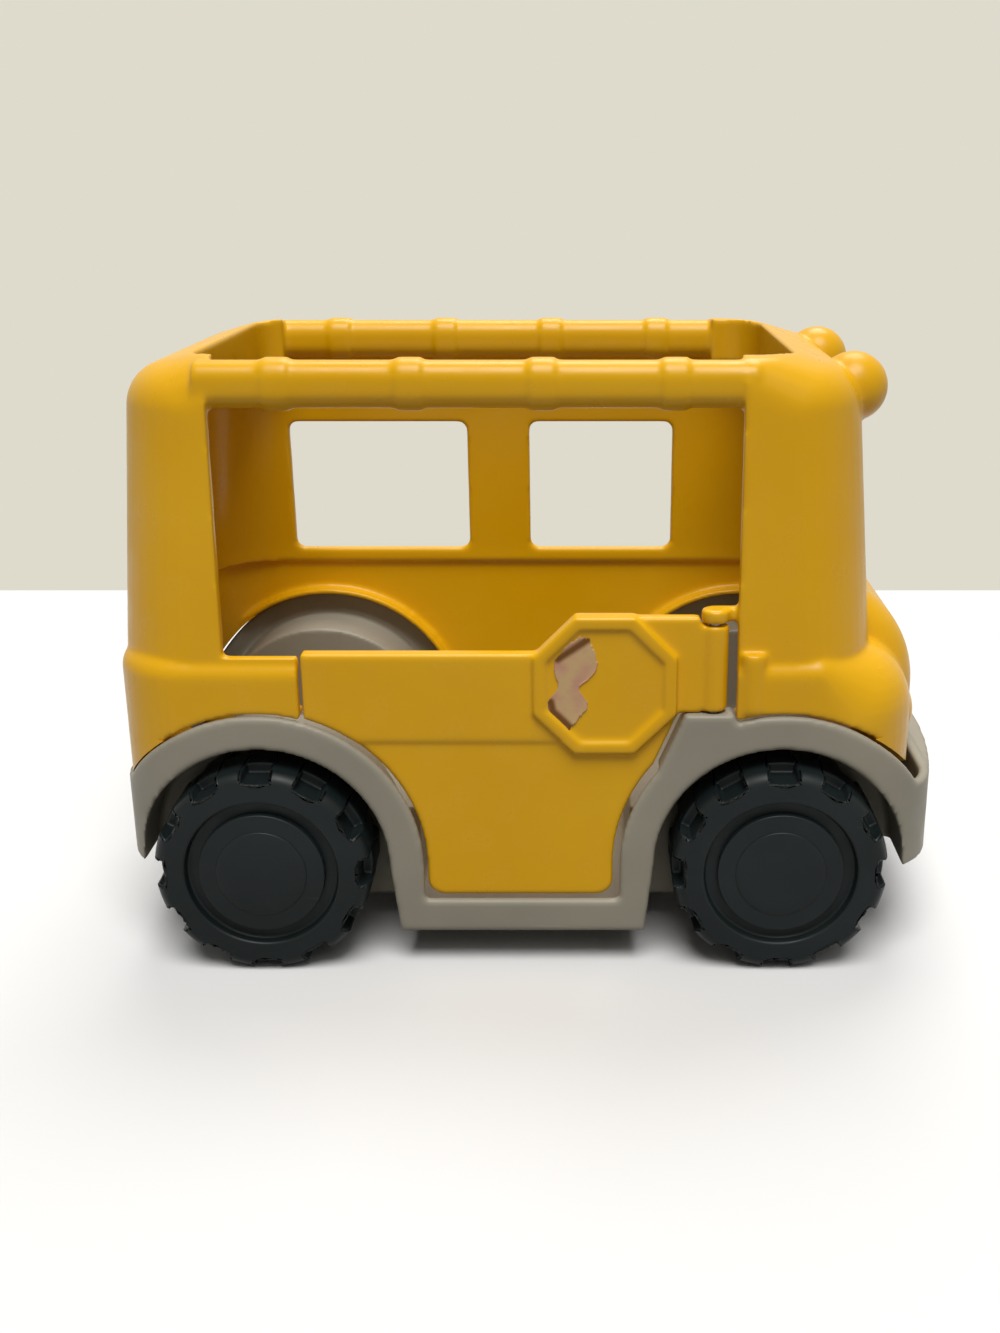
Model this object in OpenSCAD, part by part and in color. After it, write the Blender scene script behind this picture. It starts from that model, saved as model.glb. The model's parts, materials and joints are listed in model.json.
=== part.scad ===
/* [Overall] */
// Distance between the axles
wheelbase = 98.5; // [92:0.5:110]
// Rear axle to the back of the bus
rear_overhang = 28; // [27:0.5:32]
// Front axle to the front plate of the chassis
front_overhang = 30.5; // [29:0.5:34]
// Width over the wheels
track_w = 96; // [93:1:108]
// How far the wheels stand out from the chassis
wheel_out = 3; // [2:0.1:4]
// Height of the roof
roof_z = 116; // [110:1:126]
// Height of the belt ledge, where the lower body ends
belt_z = 62; // [60:0.5:66]
// Ground clearance under the floor
clear_z = 7; // [4.5:0.1:8]

/* [Wheels] */
// Wheel diameter
wheel_d = 41.2; // [38:0.2:43]
// Wheel width
wheel_w = 17.5; // [15:0.5:18.5]
// Tread blocks round each shoulder
tread_blocks = 12; // [8:1:16]
// Width of the gap between two tread blocks
tread_gap = 5; // [3:0.1:6]
// Depth of the gap between two tread blocks
tread_depth = 2.2; // [1:0.1:2.6]
// Reach of a tread gap in from the wheel's face
tread_reach = 6; // [3:0.5:8]
// Radius of the tyre's shoulder
shoulder_r = 2.6; // [1:0.1:3]
// Radius of the round pocket in the wheel's face
pocket_r = 14.5; // [13.5:0.1:15]
// Depth of the round pocket
pocket_depth = 2; // [1.6:0.1:3]
// Radius of the hub cap
cap_r = 12; // [10:0.1:13]
// Radius of the raised middle of the hub cap
cap_step_r = 8.4; // [6:0.1:9]
// Axle diameter
axle_d = 3.2; // [2.5:0.1:4]

/* [Arches] */
// Gap between the tyre and its arch
arch_gap = 3.4; // [3:0.1:4.5]
// How far each leg of an arch leans away from the wheel, from the axle's height to the ground
arch_flare = 2.6; // [1:0.1:3]
// Width of the grey ring round an arch
ring_w = 6.5; // [5:0.1:7]
// Wall of a wheel well
well_t = 1.6; // [1.2:0.1:2.2]
// Gap between the wheel's back and the well
well_gap = 1.5; // [1:0.1:3]
// Radius of the axle's bearing boss
boss_r = 4; // [3:0.1:5]
// Length of the axle's bearing boss
boss_l = 6; // [4:0.5:8]

/* [Chassis] */
// Wall of the grey skirt
skirt_t = 2; // [1.6:0.1:2.4]
// Corner radius of the chassis seen from above
chassis_corner_r = 15; // [12:0.5:18]
// Floor thickness
floor_t = 2; // [1.5:0.1:3]
// Height of the deck over the axles
deck_z = 26; // [25:0.5:29]
// Height of the rocker under the door
rocker_z = 13.6; // [11:0.1:15]
// Height of the tips at the bottom of the fender rings
tip_z = 19.5; // [18:0.5:24]
// Height of the end plates
end_z = 36; // [33:0.5:40]
// How far the front bumper stands out
bumper_out = 4; // [3:0.5:6]
// Width of the front bumper
bumper_w = 60; // [50:1:66]
// Radius of the front bumper's front seen from above
bumper_r = 130; // [100:5:200]
// Height of the front bumper's underside
bumper_z = 24.5; // [22:0.5:26]
// Height of the front bumper's bar
bumper_h = 10.5; // [8:0.5:11]

/* [Body] */
// Wall of the yellow body
wall = 2.4; // [2:0.1:3]
// Step from the chassis face in to the body's side
body_step = 0.8; // [0.5:0.1:1.5]
// Corner radius of the lower body
body_corner_r = 14; // [12:0.5:16]
// Radius of the belt edge
belt_r = 4; // [2.5:0.1:5]
// Front axle to the front of the fenders
fender_reach = 26; // [24:0.5:28]
// Radius of the fender's front top
fender_r = 13; // [10:0.5:14]
// Front axle to the middle of the hood's curve
hood_back = 6; // [4:0.5:8]
// Drop from the belt to the middle of the hood's curve
hood_drop = 12; // [10:0.5:14]
// Radius of the hood's curve seen from the side
hood_r = 22.3; // [21:0.1:24]
// Width of the hood
hood_w = 54; // [46:1:58]
// Radius of the hood's side edges
hood_edge_r = 8; // [5:0.5:10]
// Width of the lip round an arch inside the body
lip_w = 1.2; // [1:0.1:3]
// Depth of the lip round an arch inside the body
lip_d = 3; // [1:0.1:3]
// Radius of a headlight
lamp_r = 4.6; // [3.5:0.1:5]
// Distance between the headlights
lamp_pitch = 34; // [30:0.5:36]
// How far a headlight stands out
lamp_out = 1.3; // [0.8:0.1:2]
// Width of the grille slots
grille_w = 20; // [14:0.5:22]
// Height of a grille slot
grille_h = 1.6; // [1:0.1:2]
// Distance between the grille slots
grille_pitch = 3.4; // [2.6:0.1:3.8]
// Grille slots
grille_slots = 3; // [2:1:3]
// Depth of the grille slots
grille_depth = 0.9; // [0.5:0.1:1.2]

/* [Cabin] */
// Front axle to the cabin's front at the belt
cabin_front = 17.5; // [12:0.1:18.5]
// Back of the bus to the cabin's rear at the belt
cabin_back = 1.3; // [1:0.1:7]
// Step from the lower body in to the cabin's side at the belt
ledge = 1.2; // [0.6:0.1:2]
// Lean of the cabin's ends over their height
end_lean = 3.5; // [2:0.1:6]
// Lean of the cabin's sides over their height
side_lean = 1.8; // [0.5:0.1:3]
// Corner radius of the cabin
cabin_corner_r = 16; // [14:0.5:18]
// Radius of the roof's outer edge
roof_r = 4.6; // [4:0.1:6.5]
// Radius of the roof's outer edge at its ends
end_r = 8.4; // [6:0.1:10]
// How far the roof falls towards its ends
roof_fall = 1.6; // [1:0.1:6]
// Length over which the roof falls at each end
roof_run = 9; // [6:0.5:11]

/* [Roof rail] */
// Depth of the rail
rail_d = 7; // [6:0.1:8]
// Height of the rail
rail_h = 8.4; // [7:0.1:9.5]
// Depth of the roof's rim at the ends
rim_d = 13; // [11:0.5:16]
// Corner radius of the roof's opening
open_r = 8; // [5:0.5:11]
// Width of a raised band
band_w = 4.4; // [2.5:0.1:5]
// How far the bands and corners stand out from the rail
band_out = 0.5; // [0.3:0.1:1.4]
// Distance between the bands
band_pitch = 23.5; // [18:0.5:25]
// Bands on each side
bands = 4; // [2:1:4]
// Radius of a marker light
marker_r = 6.5; // [5:0.1:7]
// Distance between the marker lights
marker_pitch = 46; // [40:1:50]

/* [Openings] */
// Rear axle back to the rear edge of the side opening
side_open_back = 5.4; // [3:0.1:7]
// Front axle back to the front edge of the side opening
side_open_front = 9; // [8:0.1:11]
// Rear axle back to the rear window's edge
window_back = 6.8; // [4:0.1:9]
// Width of the rear side window
window_rear_w = 41; // [34:0.5:44]
// Width of the front side window
window_front_w = 33; // [28:0.5:36]
// Width of the post between the windows
window_post = 14.4; // [10:0.1:18]
// Height of the side windows
window_h = 30; // [24:0.5:34]
// Belt to the side windows' lower edge
window_sill = 0.4; // [0.2:0.1:2]
// Corner radius of the windows
window_r = 2; // [1:0.1:4]
// Width of the windscreen
screen_w = 50; // [40:1:54]
// Height of the windscreen
screen_h = 24; // [18:0.5:27]
// Belt to the windscreen's lower edge
screen_sill = 12; // [11:0.5:14]

/* [Door] */
// Door thickness
door_t = 3; // [2.4:0.1:3.4]
// Step from the body's side in to the door
door_step = 0.6; // [0.3:0.1:1.2]
// Gap along the door's rear and lower edges
door_gap = 0.6; // [0.4:0.1:1]
// Gap along the door's front edge, where it swings
door_swing_gap = 1.3; // [1.2:0.1:2.2]
// Rear axle to the door's rear end
door_back = 9; // [7:0.1:14]
// Height of the door over the belt
door_over = 1; // [0:0.1:2]
// Height of the door's hinge end over the belt
arm_over = 8; // [6:0.1:8.5]
// Height of the hinge barrel over the belt
hinge_over = 6.4; // [5.5:0.1:11]
// Radius of the door's lower corners
door_corner_r = 3; // [1.5:0.1:4]
// Height of the door's raised upper band
door_band_h = 17; // [12:0.5:18]
// How far the door's upper band stands out
door_band_out = 0.4; // [0.2:0.1:0.5]

/* [Sign] */
// Width of the octagon across its flats
sign_w = 26.5; // [22:0.5:28]
// Hinge axis to the octagon's middle
sign_reach = 20.2; // [18:0.1:24]
// Belt down to the octagon's middle
sign_drop = 5; // [4:0.5:7]
// How far the octagon stands out from the door
sign_out = 1.4; // [1:0.1:2]
// Width of the octagon's rim
sign_rim = 2.2; // [1.4:0.1:3]
// Depth of the octagon's face below its rim
sign_sink = 0.7; // [0.4:0.1:0.8]

/* [Hinge] */
// Radius of the hinge barrel
hinge_r = 2.6; // [2.4:0.1:3.6]
// Edge of the side opening to the hinge axis
hinge_in = 4.3; // [4:0.1:5]
// Hinge pin diameter
pin_d = 2.2; // [2:0.1:2.8]
// Height of the chassis corner that carries the hinge
hinge_post_z = 51.5; // [50:0.1:53]
// Thickness of the body's hinge ear
ear_t = 2.6; // [2.2:0.1:3.4]
// Radius of the upright lug on the fender beside the hinge
lug_r = 2.6; // [2:0.1:3]
// How far the lug stands out from the body's side
lug_out = 0.8; // [0.4:0.1:1.2]

/* [Fits] */
// Gap between fixed mouldings
fit_gap = 0.3; // [0.2:0.05:0.5]
// Radial running gap of the axles and the hinge pin
run_gap = 0.08; // [0.04:0.01:0.1]

/* [Screws] */
// Screw shank diameter
screw_d = 2.6; // [2:0.1:3]
// Screw head diameter
screw_head_d = 5; // [4:0.1:5.4]
// Screw head height
screw_head_h = 1.6; // [1.2:0.1:2]
// Screw length under the head
screw_l = 12; // [9:0.5:14]
// Radius of a screw tower
tower_r = 3.4; // [2.8:0.1:3.8]
// Back of the wheel wells in to the screws
screw_in = 9.4; // [7:0.1:12]

/* [Hidden] */

// Smoothness of round shapes, of the shapes that only round a form, and of shallow domes
$fn = 64;
form_fn = 40;
dome_fn = 256;
// Overrun of every cut
over = 1;

// Places along the bus, which stands on the ground with its middle at the origin
overall_l = rear_overhang + wheelbase + front_overhang + bumper_out;
back_x = -overall_l / 2;
rear_x = back_x + rear_overhang;
front_x = rear_x + wheelbase;
chassis_front_x = front_x + front_overhang;
bumper_x = chassis_front_x + bumper_out;
axle_z = wheel_d / 2;
chassis_w = track_w - 2 * wheel_out;
chassis_y = chassis_w / 2;
axles = [rear_x, front_x];
sides = [-1, 1];

// Wheel wells
arch_r = wheel_d / 2 + arch_gap;
ring_r = arch_r + ring_w;
well_r = arch_r + well_t;
face_y = track_w / 2;
well_y = face_y - wheel_w - well_gap;
well_back_y = well_y - well_t;

// Lower body
body_y = chassis_y - body_step;
body_back_x = back_x + body_step;
fender_x = front_x + fender_reach;
body_low_z = rocker_z + fit_gap;
body_end_z = end_z + fit_gap;
body_arch_r = ring_r + fit_gap;
hood_x = front_x + hood_back;
hood_z = belt_z - hood_drop;
hood_front_x = hood_x + hood_r;
lamp_z = (hood_z + body_end_z) / 2;

// Cabin
cabin_y = body_y - ledge;
cabin_back_x = back_x + cabin_back;
cabin_front_x = front_x + cabin_front;
cabin_low_z = belt_z - belt_r;
roof_back_x = cabin_back_x + end_lean;
roof_front_x = cabin_front_x - end_lean;
lean_z = roof_z - rail_h - end_r;
rail_z = roof_z - band_out - rail_h;
rail_y = cabin_y - side_lean - band_out - rail_d / 2;
rail_edge_r = rail_d / 2 - band_out / 2;
rim_z = rail_z - band_out;

// Openings
open_back_x = rear_x - side_open_back;
open_front_x = front_x - side_open_front;
open_mid_x = (open_back_x + open_front_x) / 2;
window_x = rear_x - window_back;
window_z = belt_z + window_sill;
screen_z = belt_z + screen_sill;

// Door and hinge: the axis lies this share of the door's thickness in from its face, and the pin
// goes this share of the ear's thickness up; the grey corner starts at this angle on the ring
hinge_share = 0.6;
pin_share = 0.7;
pin_sink = 6;
post_turn = 40;
post_back = 5.2;
door_y = body_y - door_step;
door_back_x = rear_x + door_back;
door_top_z = belt_z + door_over;
door_low_z = rocker_z + door_gap;
hinge_x = open_front_x - hinge_in;
hinge_y = door_y - door_t * hinge_share;
hinge_top_z = belt_z + hinge_over;
hinge_low_z = hinge_post_z + fit_gap;
ear_z = hinge_top_z + fit_gap;
sign_x = hinge_x - sign_reach;
sign_z = belt_z - sign_drop;
pin_hold = ear_t * pin_share;

// Wheel and hub cap: hub and hollow at the wheel's back, spigot of the cap, dome of its middle
hub_r = 6;
back_r = 16.5;
back_depth = 9;
spigot_r = 4.5;
spigot_l = 2.5;
cap_share = 0.8;
dome_r = 70;

// Screws
screw_y = well_back_y - screw_in;
tower_back_x = back_x + skirt_t + fit_gap + tower_r;
tower_front_x = cabin_front_x + tower_r + fit_gap;
tower_xs = [tower_back_x, tower_front_x];
screw_head_z = deck_z - floor_t - screw_head_h;
pilot_r = screw_d / 2;
tower_top_z = screw_head_z + screw_head_h + screw_l + screw_d;

yellow = "#eab51e";
grey = "#8c8c84";
black = "#1c2026";
steel = "#b8bcc0";

// A rectangle with round corners, from one x to the other and as wide on both sides
module round_plan(x0, x1, half_w, r) {
    translate([x0 + r, -half_w]) square([x1 - x0 - 2 * r, 2 * half_w]);
    translate([x0, r - half_w]) square([x1 - x0, 2 * half_w - 2 * r]);
    for (x = [x0 + r, x1 - r], y = [r - half_w, half_w - r])
        translate([x, y]) circle(r);
}

// A rectangle with round corners, standing upright in a side or end view
module round_pane(x0, x1, z0, z1, r) {
    translate([0, (z0 + z1) / 2]) round_plan(x0, x1, (z1 - z0) / 2, r);
}

// Carries a side view through the bus, from one y to the other
module across(y0, y1) {
    translate([0, y1, 0]) rotate([90, 0, 0]) linear_extrude(y1 - y0) children();
}

// Carries an end view along the bus, from one x to the other
module along(x0, x1) {
    translate([x0, 0, 0]) rotate([90, 0, 90]) linear_extrude(x1 - x0) children();
}

// Draws what belongs to the left side on both sides
module both_sides() {
    children();
    mirror([0, 1, 0]) children();
}

// An upright post with a rounded top edge, which gives a form one of its corners
module corner_post(r, z0, z1, edge) {
    translate([0, 0, z0]) rotate_extrude($fn = form_fn) {
        square([r, z1 - z0 - edge]);
        translate([0, z1 - z0 - edge]) square([r - edge, edge]);
        intersection() {
            translate([r - edge, z1 - z0 - edge]) circle(edge);
            translate([0, z1 - z0 - edge]) square([r, edge]);
        }
    }
}

// Outside of the lower body: straight sides, a rounded belt and fenders that roll down in front
module lower_form() {
    front_post_r = fender_r + belt_r / 2;
    hull() {
        for (s = sides) {
            translate([body_back_x + body_corner_r, s * (body_y - body_corner_r), 0])
                corner_post(body_corner_r, body_low_z, belt_z, belt_r);
            translate([hood_x, s * (body_y - belt_r), 0])
                corner_post(belt_r, body_low_z, belt_z, belt_r);
            translate([fender_x - front_post_r, s * (body_y - front_post_r), 0])
                corner_post(front_post_r, body_low_z, belt_z, fender_r);
        }
    }
}

// Outside of the cabin, or its inside when it is drawn in by a wall: leaning sides and ends, and a top
// that falls towards the ends and has an edge of its own there
module cabin_form(inset, top_z, edge, end_edge, fall) {
    r = cabin_corner_r - inset;
    hull() {
        for (s = sides) {
            for (x = [cabin_back_x + inset + r, cabin_front_x - inset - r])
                translate([x, s * (cabin_y - inset - r), cabin_low_z])
                    cylinder(r = r, h = belt_r, $fn = form_fn);
            for (i = [0, 1], x = [roof_back_x + inset + r + i * roof_run, roof_front_x - inset - r - i * roof_run])
                translate([x, s * (cabin_y - side_lean - inset - r), 0])
                    corner_post(r, lean_z, top_z - fall + i * fall, i == 0 ? end_edge : edge);
        }
    }
}

// Hood: a rounded roll across the front between the fenders, carried straight down below its middle
module hood() {
    translate([hood_x, hood_w / 2, hood_z]) rotate([90, 0, 0]) rotate_extrude() {
        square([hood_r - hood_edge_r, hood_w]);
        translate([0, hood_edge_r]) square([hood_r, hood_w - 2 * hood_edge_r]);
        for (h = [hood_edge_r, hood_w - hood_edge_r])
            translate([hood_r - hood_edge_r, h]) circle(hood_edge_r);
    }
    translate([0, 0, body_end_z]) linear_extrude(hood_z - body_end_z)
        round_plan(hood_x - hood_r, hood_front_x, hood_w / 2, hood_edge_r);
}

// Headlights: shallow round lenses on the front
module headlights() {
    ball_r = (lamp_r * lamp_r + lamp_out * lamp_out) / (2 * lamp_out);
    both_sides() translate([hood_front_x - wall / 2, lamp_pitch / 2, lamp_z]) rotate([0, 90, 0])
        rotate_extrude() intersection() {
            translate([0, wall / 2 + lamp_out - ball_r]) circle(ball_r, $fn = dome_fn);
            square([lamp_r, wall / 2 + lamp_out]);
        }
}

// Slots of the grille between the headlights
module grille() {
    for (i = [0 : grille_slots - 1])
        translate([hood_front_x - grille_depth, -grille_w / 2,
                lamp_z + (i - (grille_slots - 1) / 2) * grille_pitch - grille_h / 2])
            cube([grille_depth + over, grille_w, grille_h]);
}

// Lips that stiffen the body round its arches, on the inside
module arch_lips() {
    intersection() {
        both_sides() for (x = axles)
            across(body_y - wall - lip_d, body_y - wall / 2) difference() {
                translate([x, axle_z]) circle(body_arch_r + lip_w);
                translate([x, axle_z]) circle(body_arch_r);
            }
        translate([0, 0, deck_z + fit_gap]) linear_extrude(cabin_low_z - deck_z)
            round_plan(body_back_x + wall / 2, cabin_front_x - wall / 2, body_y - wall / 2,
                body_corner_r - wall / 2);
    }
}

// Section of the roof rail, or of a band that stands out from it
module rail_section(grow) {
    round_pane(-rail_d / 2 - grow, rail_d / 2 + grow, rail_z - grow, rail_z + rail_h + grow,
        rail_edge_r + grow);
}

// Rails along the sides of the open roof, let into its rim at both ends, with raised bands
module roof_rail() {
    for (s = sides) translate([0, s * rail_y, 0]) {
        along(open_back_x - wall, open_front_x + wall) rail_section(0);
        for (i = [0 : bands - 1])
            translate([open_mid_x + (i - (bands - 1) / 2) * band_pitch, 0, 0])
                along(-band_w / 2, band_w / 2) rail_section(band_out);
    }
}

// Round marker light that bulges out of the front above the windscreen
module marker_light() {
    translate([roof_front_x - wall / 2, marker_pitch / 2, roof_z - marker_r - band_out]) sphere(marker_r);
}

// Side view of an arch over an axle: round above the axle, with legs that lean out by a flare below it
module arch_outline(x, r, flare) {
    translate([x, axle_z]) {
        circle(r);
        polygon([[-r, 0], [r, 0], [r + flare, -axle_z - over], [-r - flare, -axle_z - over]]);
    }
}

// Side view of what an arch takes out of the body
module body_arch(x, r) {
    intersection() {
        arch_outline(x, r, 0);
        translate([back_x + skirt_t, -over])
            square([chassis_front_x - back_x - 2 * skirt_t, roof_z]);
    }
}

// Inside of the lower body, of the cabin and of the hood
module body_hollow() {
    translate([0, 0, -over]) linear_extrude(cabin_low_z + 2 * over)
        round_plan(body_back_x + wall, cabin_front_x - wall, body_y - wall, body_corner_r - wall);
    cabin_form(wall, rim_z, over, over, 0);
    intersection() {
        across(wall - hood_w / 2, hood_w / 2 - wall) {
            translate([hood_x, hood_z]) circle(hood_r - wall);
            translate([hood_x, 0]) square([hood_r - wall, hood_z]);
        }
        translate([cabin_front_x, 0, 0]) linear_extrude(roof_z)
            round_plan(-hood_r, hood_front_x - wall - cabin_front_x, hood_w / 2 - wall, hood_edge_r - wall);
        translate([cabin_front_x, -hood_w / 2, 0]) cube([hood_r, hood_w, roof_z]);
    }
}

// Windows, windscreen, the open side over the door and the open roof, with room for its rails
module body_openings() {
    open_l = open_front_x - open_back_x;
    across(0, body_y + over) {
        round_pane(window_x, window_x + window_rear_w, window_z, window_z + window_h, window_r);
        round_pane(window_x + window_rear_w + window_post,
            window_x + window_rear_w + window_post + window_front_w,
            window_z, window_z + window_h, window_r);
    }
    along(open_mid_x, bumper_x)
        round_pane(-screen_w / 2, screen_w / 2, screen_z, screen_z + screen_h, 2 * window_r);
    across(-body_y - over, -rail_y + rail_d) {
        translate([open_back_x, belt_z]) square([open_l, roof_z - belt_z + over]);
        translate([door_back_x - door_gap, -over])
            square([open_front_x - door_back_x + door_gap, belt_z + 2 * over]);
    }
    translate([0, 0, rim_z - over]) linear_extrude(roof_z - rim_z + 2 * over)
        round_plan(roof_back_x + rim_d, roof_front_x - rim_d, rail_y - rail_d / 2 - band_out, open_r);
    across(rail_y - rail_d, rail_y + 2 * band_out)
        translate([open_back_x, rim_z - over]) square([open_l, roof_z - rim_z + 2 * over]);
    across(rail_y, body_y)
        translate([open_back_x, rail_z + 2 * band_out]) square([open_l, roof_z - rail_z + over]);
}

// Room under the body for the chassis
module body_underside() {
    both_sides() for (x = axles) {
        across(well_back_y - fit_gap, body_y + over) body_arch(x, well_r + fit_gap);
        across(body_y - chassis_corner_r, body_y + over) body_arch(x, body_arch_r);
    }
    translate([back_x - over, -chassis_y, -over])
        cube([rear_x - back_x + over, chassis_w, body_end_z + over]);
    translate([cabin_front_x, -chassis_y, -over])
        cube([bumper_x - cabin_front_x, chassis_w, body_end_z + over]);
    translate([front_x, -chassis_y, -over])
        cube([bumper_x - front_x, chassis_w, deck_z + over]);
}

// Ear on the front pillar that holds the top of the hinge pin
module hinge_ear() {
    translate([hinge_x, -hinge_y, ear_z]) linear_extrude(ear_t) {
        circle(hinge_r);
        square([open_front_x - hinge_x + wall, hinge_r]);
    }
}

// Upright lug at the rear end of the front fender, beside the hinge
module hinge_lug() {
    translate([open_front_x + lug_r + fit_gap, lug_r - lug_out - body_y, hinge_low_z])
        cylinder(r = lug_r, h = door_top_z - hinge_low_z);
}

// Towers inside the body that the screws go up into, tied to the rear wall and to the hood's front
module screw_towers() {
    tie_x = hood_front_x - wall + fit_gap;
    both_sides() {
        for (x = tower_xs)
            translate([x, screw_y, deck_z]) cylinder(r = tower_r, h = tower_top_z - deck_z);
        translate([body_back_x + wall / 2, screw_y - wall / 2, body_end_z])
            cube([tower_back_x - body_back_x - wall / 2, wall, tower_top_z - body_end_z]);
        translate([tower_front_x, screw_y - wall / 2, body_end_z])
            cube([tie_x - tower_front_x, wall, tower_top_z - body_end_z]);
    }
}

module body_shell() {
    color(yellow) difference() {
        union() {
            difference() {
                union() {
                    lower_form();
                    cabin_form(0, roof_z, roof_r, end_r, roof_fall);
                    both_sides() marker_light();
                    hood();
                }
                difference() {
                    body_hollow();
                    arch_lips();
                }
                body_openings();
                body_underside();
                grille();
            }
            roof_rail();
            headlights();
            hinge_ear();
            hinge_lug();
            screw_towers();
        }
        for (x = tower_xs, s = sides)
            translate([x, s * screw_y, deck_z - over]) cylinder(r = pilot_r, h = screw_l - floor_t + over);
        translate([hinge_x, -hinge_y, ear_z - over]) cylinder(d = pin_d, h = pin_hold + over);
    }
}

// Side view of the door: a tongue between the rings, widening over them up to the belt
module door_outline() {
    difference() {
        union() {
            translate([door_back_x, axle_z])
                square([hinge_x - door_back_x, door_top_z - axle_z]);
            translate([sign_x, axle_z])
                square([hinge_x - sign_x, belt_z + arm_over - axle_z]);
            round_pane(rear_x + ring_r + door_gap, front_x - ring_r - door_swing_gap,
                door_low_z, belt_z, door_corner_r);
        }
        translate([rear_x, axle_z]) circle(ring_r + door_gap);
        translate([front_x, axle_z]) circle(ring_r + door_swing_gap);
        translate([-door_swing_gap, 0]) hinge_post_outline();
        translate([hinge_x - hinge_r, 0]) square([2 * hinge_r, hinge_low_z + door_gap]);
    }
}

module side_door() {
    color(yellow) difference() {
        union() {
            across(-door_y, door_t - door_y) door_outline();
            across(-door_y - door_band_out, door_t - door_y) intersection() {
                door_outline();
                translate([door_back_x, door_top_z - door_band_h])
                    square([sign_x - door_back_x, door_band_h]);
            }
            across(-door_y - sign_out, door_t - door_y)
                translate([sign_x, sign_z]) sign_outline(sign_w);
            translate([hinge_x, -hinge_y, hinge_low_z])
                cylinder(r = hinge_r, h = hinge_top_z - hinge_low_z + over);
        }
        translate([hinge_x, -hinge_y, hinge_top_z])
            cylinder(r = hinge_r + fit_gap, h = arm_over + over);
        across(-door_y - sign_out - over, sign_sink - door_y - sign_out)
            translate([sign_x, sign_z]) sign_outline(sign_w - 2 * sign_rim);
        translate([hinge_x, -hinge_y, hinge_low_z - over])
            cylinder(r = pin_d / 2 + run_gap, h = hinge_top_z - hinge_low_z + 2 * over);
    }
}

// Octagon of a given width across its flats, standing on a flat
module sign_outline(w) {
    rotate(180 / 8) circle(d = w / cos(180 / 8), $fn = 8);
}

module door_pin() {
    color(steel)
        translate([hinge_x, -hinge_y, hinge_post_z - pin_sink])
            cylinder(d = pin_d, h = ear_z + pin_hold - hinge_post_z + pin_sink);
}

// Side view of the grey corner over the front ring that carries the hinge
module hinge_post_outline() {
    polygon([
        [front_x - ring_r * cos(post_turn), axle_z + ring_r * sin(post_turn)],
        [hinge_x - post_back, hinge_post_z],
        [open_front_x - fit_gap, hinge_post_z],
        [open_front_x - fit_gap, axle_z + arch_r],
        [front_x - arch_r * cos(post_turn), axle_z + arch_r * sin(post_turn)]
    ]);
}

// Side view of the grey skirt: a ring over each wheel, the rocker and the end plates
module skirt_outline() {
    difference() {
        union() {
            for (x = axles) {
                translate([x, axle_z]) circle(ring_r);
                translate([x - ring_r, clear_z]) square([2 * ring_r, axle_z - clear_z]);
            }
            translate([rear_x, clear_z]) square([wheelbase, rocker_z - clear_z]);
            translate([back_x, tip_z]) square([rear_x - back_x, end_z - tip_z]);
            translate([front_x, tip_z]) square([front_overhang, end_z - tip_z]);
        }
        for (x = axles)
            arch_outline(x, arch_r, arch_flare);
        translate([rear_x, -ring_r]) square([wheelbase, ring_r + clear_z]);
        translate([rear_x - ring_r - over, -ring_r]) square([ring_r + over, ring_r + tip_z]);
        translate([front_x, -ring_r]) square([ring_r + over, ring_r + tip_z]);
        translate([back_x - ring_r, end_z]) square([ring_r + skirt_t, roof_z]);
        translate([chassis_front_x - skirt_t, end_z]) square([ring_r, roof_z]);
    }
}

// Skirt: the side view wrapped round the chassis outline, with the hinge corner on the door side
module skirt() {
    intersection() {
        linear_extrude(roof_z) difference() {
            round_plan(back_x, chassis_front_x, chassis_y, chassis_corner_r);
            round_plan(back_x + skirt_t, chassis_front_x - skirt_t, chassis_y - skirt_t,
                chassis_corner_r - skirt_t);
        }
        across(-chassis_y - over, chassis_y + over) skirt_outline();
    }
    across(-chassis_y, hinge_r - hinge_y) difference() {
        hinge_post_outline();
        translate([front_x, axle_z]) circle(arch_r + ring_w / 2);
    }
}

// Wheel wells, which bulge into the cabin: down to the floor between the axles, and as low as the
// tips of the rings outside them, with a bearing boss for each end of an axle
module wheel_wells() {
    intersection() {
        both_sides() for (x = axles) difference() {
            across(well_back_y, chassis_y) arch_outline(x, well_r, arch_flare);
            across(well_y, chassis_y + over) arch_outline(x, arch_r, arch_flare);
        }
        across(-chassis_y - over, chassis_y + over) {
            translate([back_x - over, tip_z]) square([overall_l + 2 * over, roof_z]);
            translate([rear_x, clear_z]) square([wheelbase, tip_z]);
        }
        linear_extrude(roof_z) round_plan(back_x, chassis_front_x, chassis_y, chassis_corner_r);
    }
    both_sides() for (x = axles)
        translate([x, well_back_y + well_t / 2, axle_z]) rotate([90, 0, 0])
            cylinder(r = boss_r, h = boss_l + well_t / 2);
}

// Floor between the axles, decks over them and the risers that join the two
module floor_pan() {
    x0 = rear_x + arch_r;
    x1 = front_x - arch_r;
    deck_y = well_back_y + well_t / 2;
    riser_t = arch_flare + well_t;
    translate([x0 + arch_flare, skirt_t / 2 - chassis_y, clear_z])
        cube([x1 - x0 - 2 * arch_flare, chassis_w - skirt_t, floor_t]);
    translate([back_x + skirt_t / 2, -deck_y, deck_z - floor_t])
        cube([x0 + well_t - back_x - skirt_t / 2, 2 * deck_y, floor_t]);
    translate([x1 - well_t, -deck_y, deck_z - floor_t])
        cube([chassis_front_x - skirt_t / 2 - x1 + well_t, 2 * deck_y, floor_t]);
    for (x = [x0, x1 - riser_t])
        translate([x, -deck_y, clear_z]) cube([riser_t, 2 * deck_y, deck_z - clear_z]);
}

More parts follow.
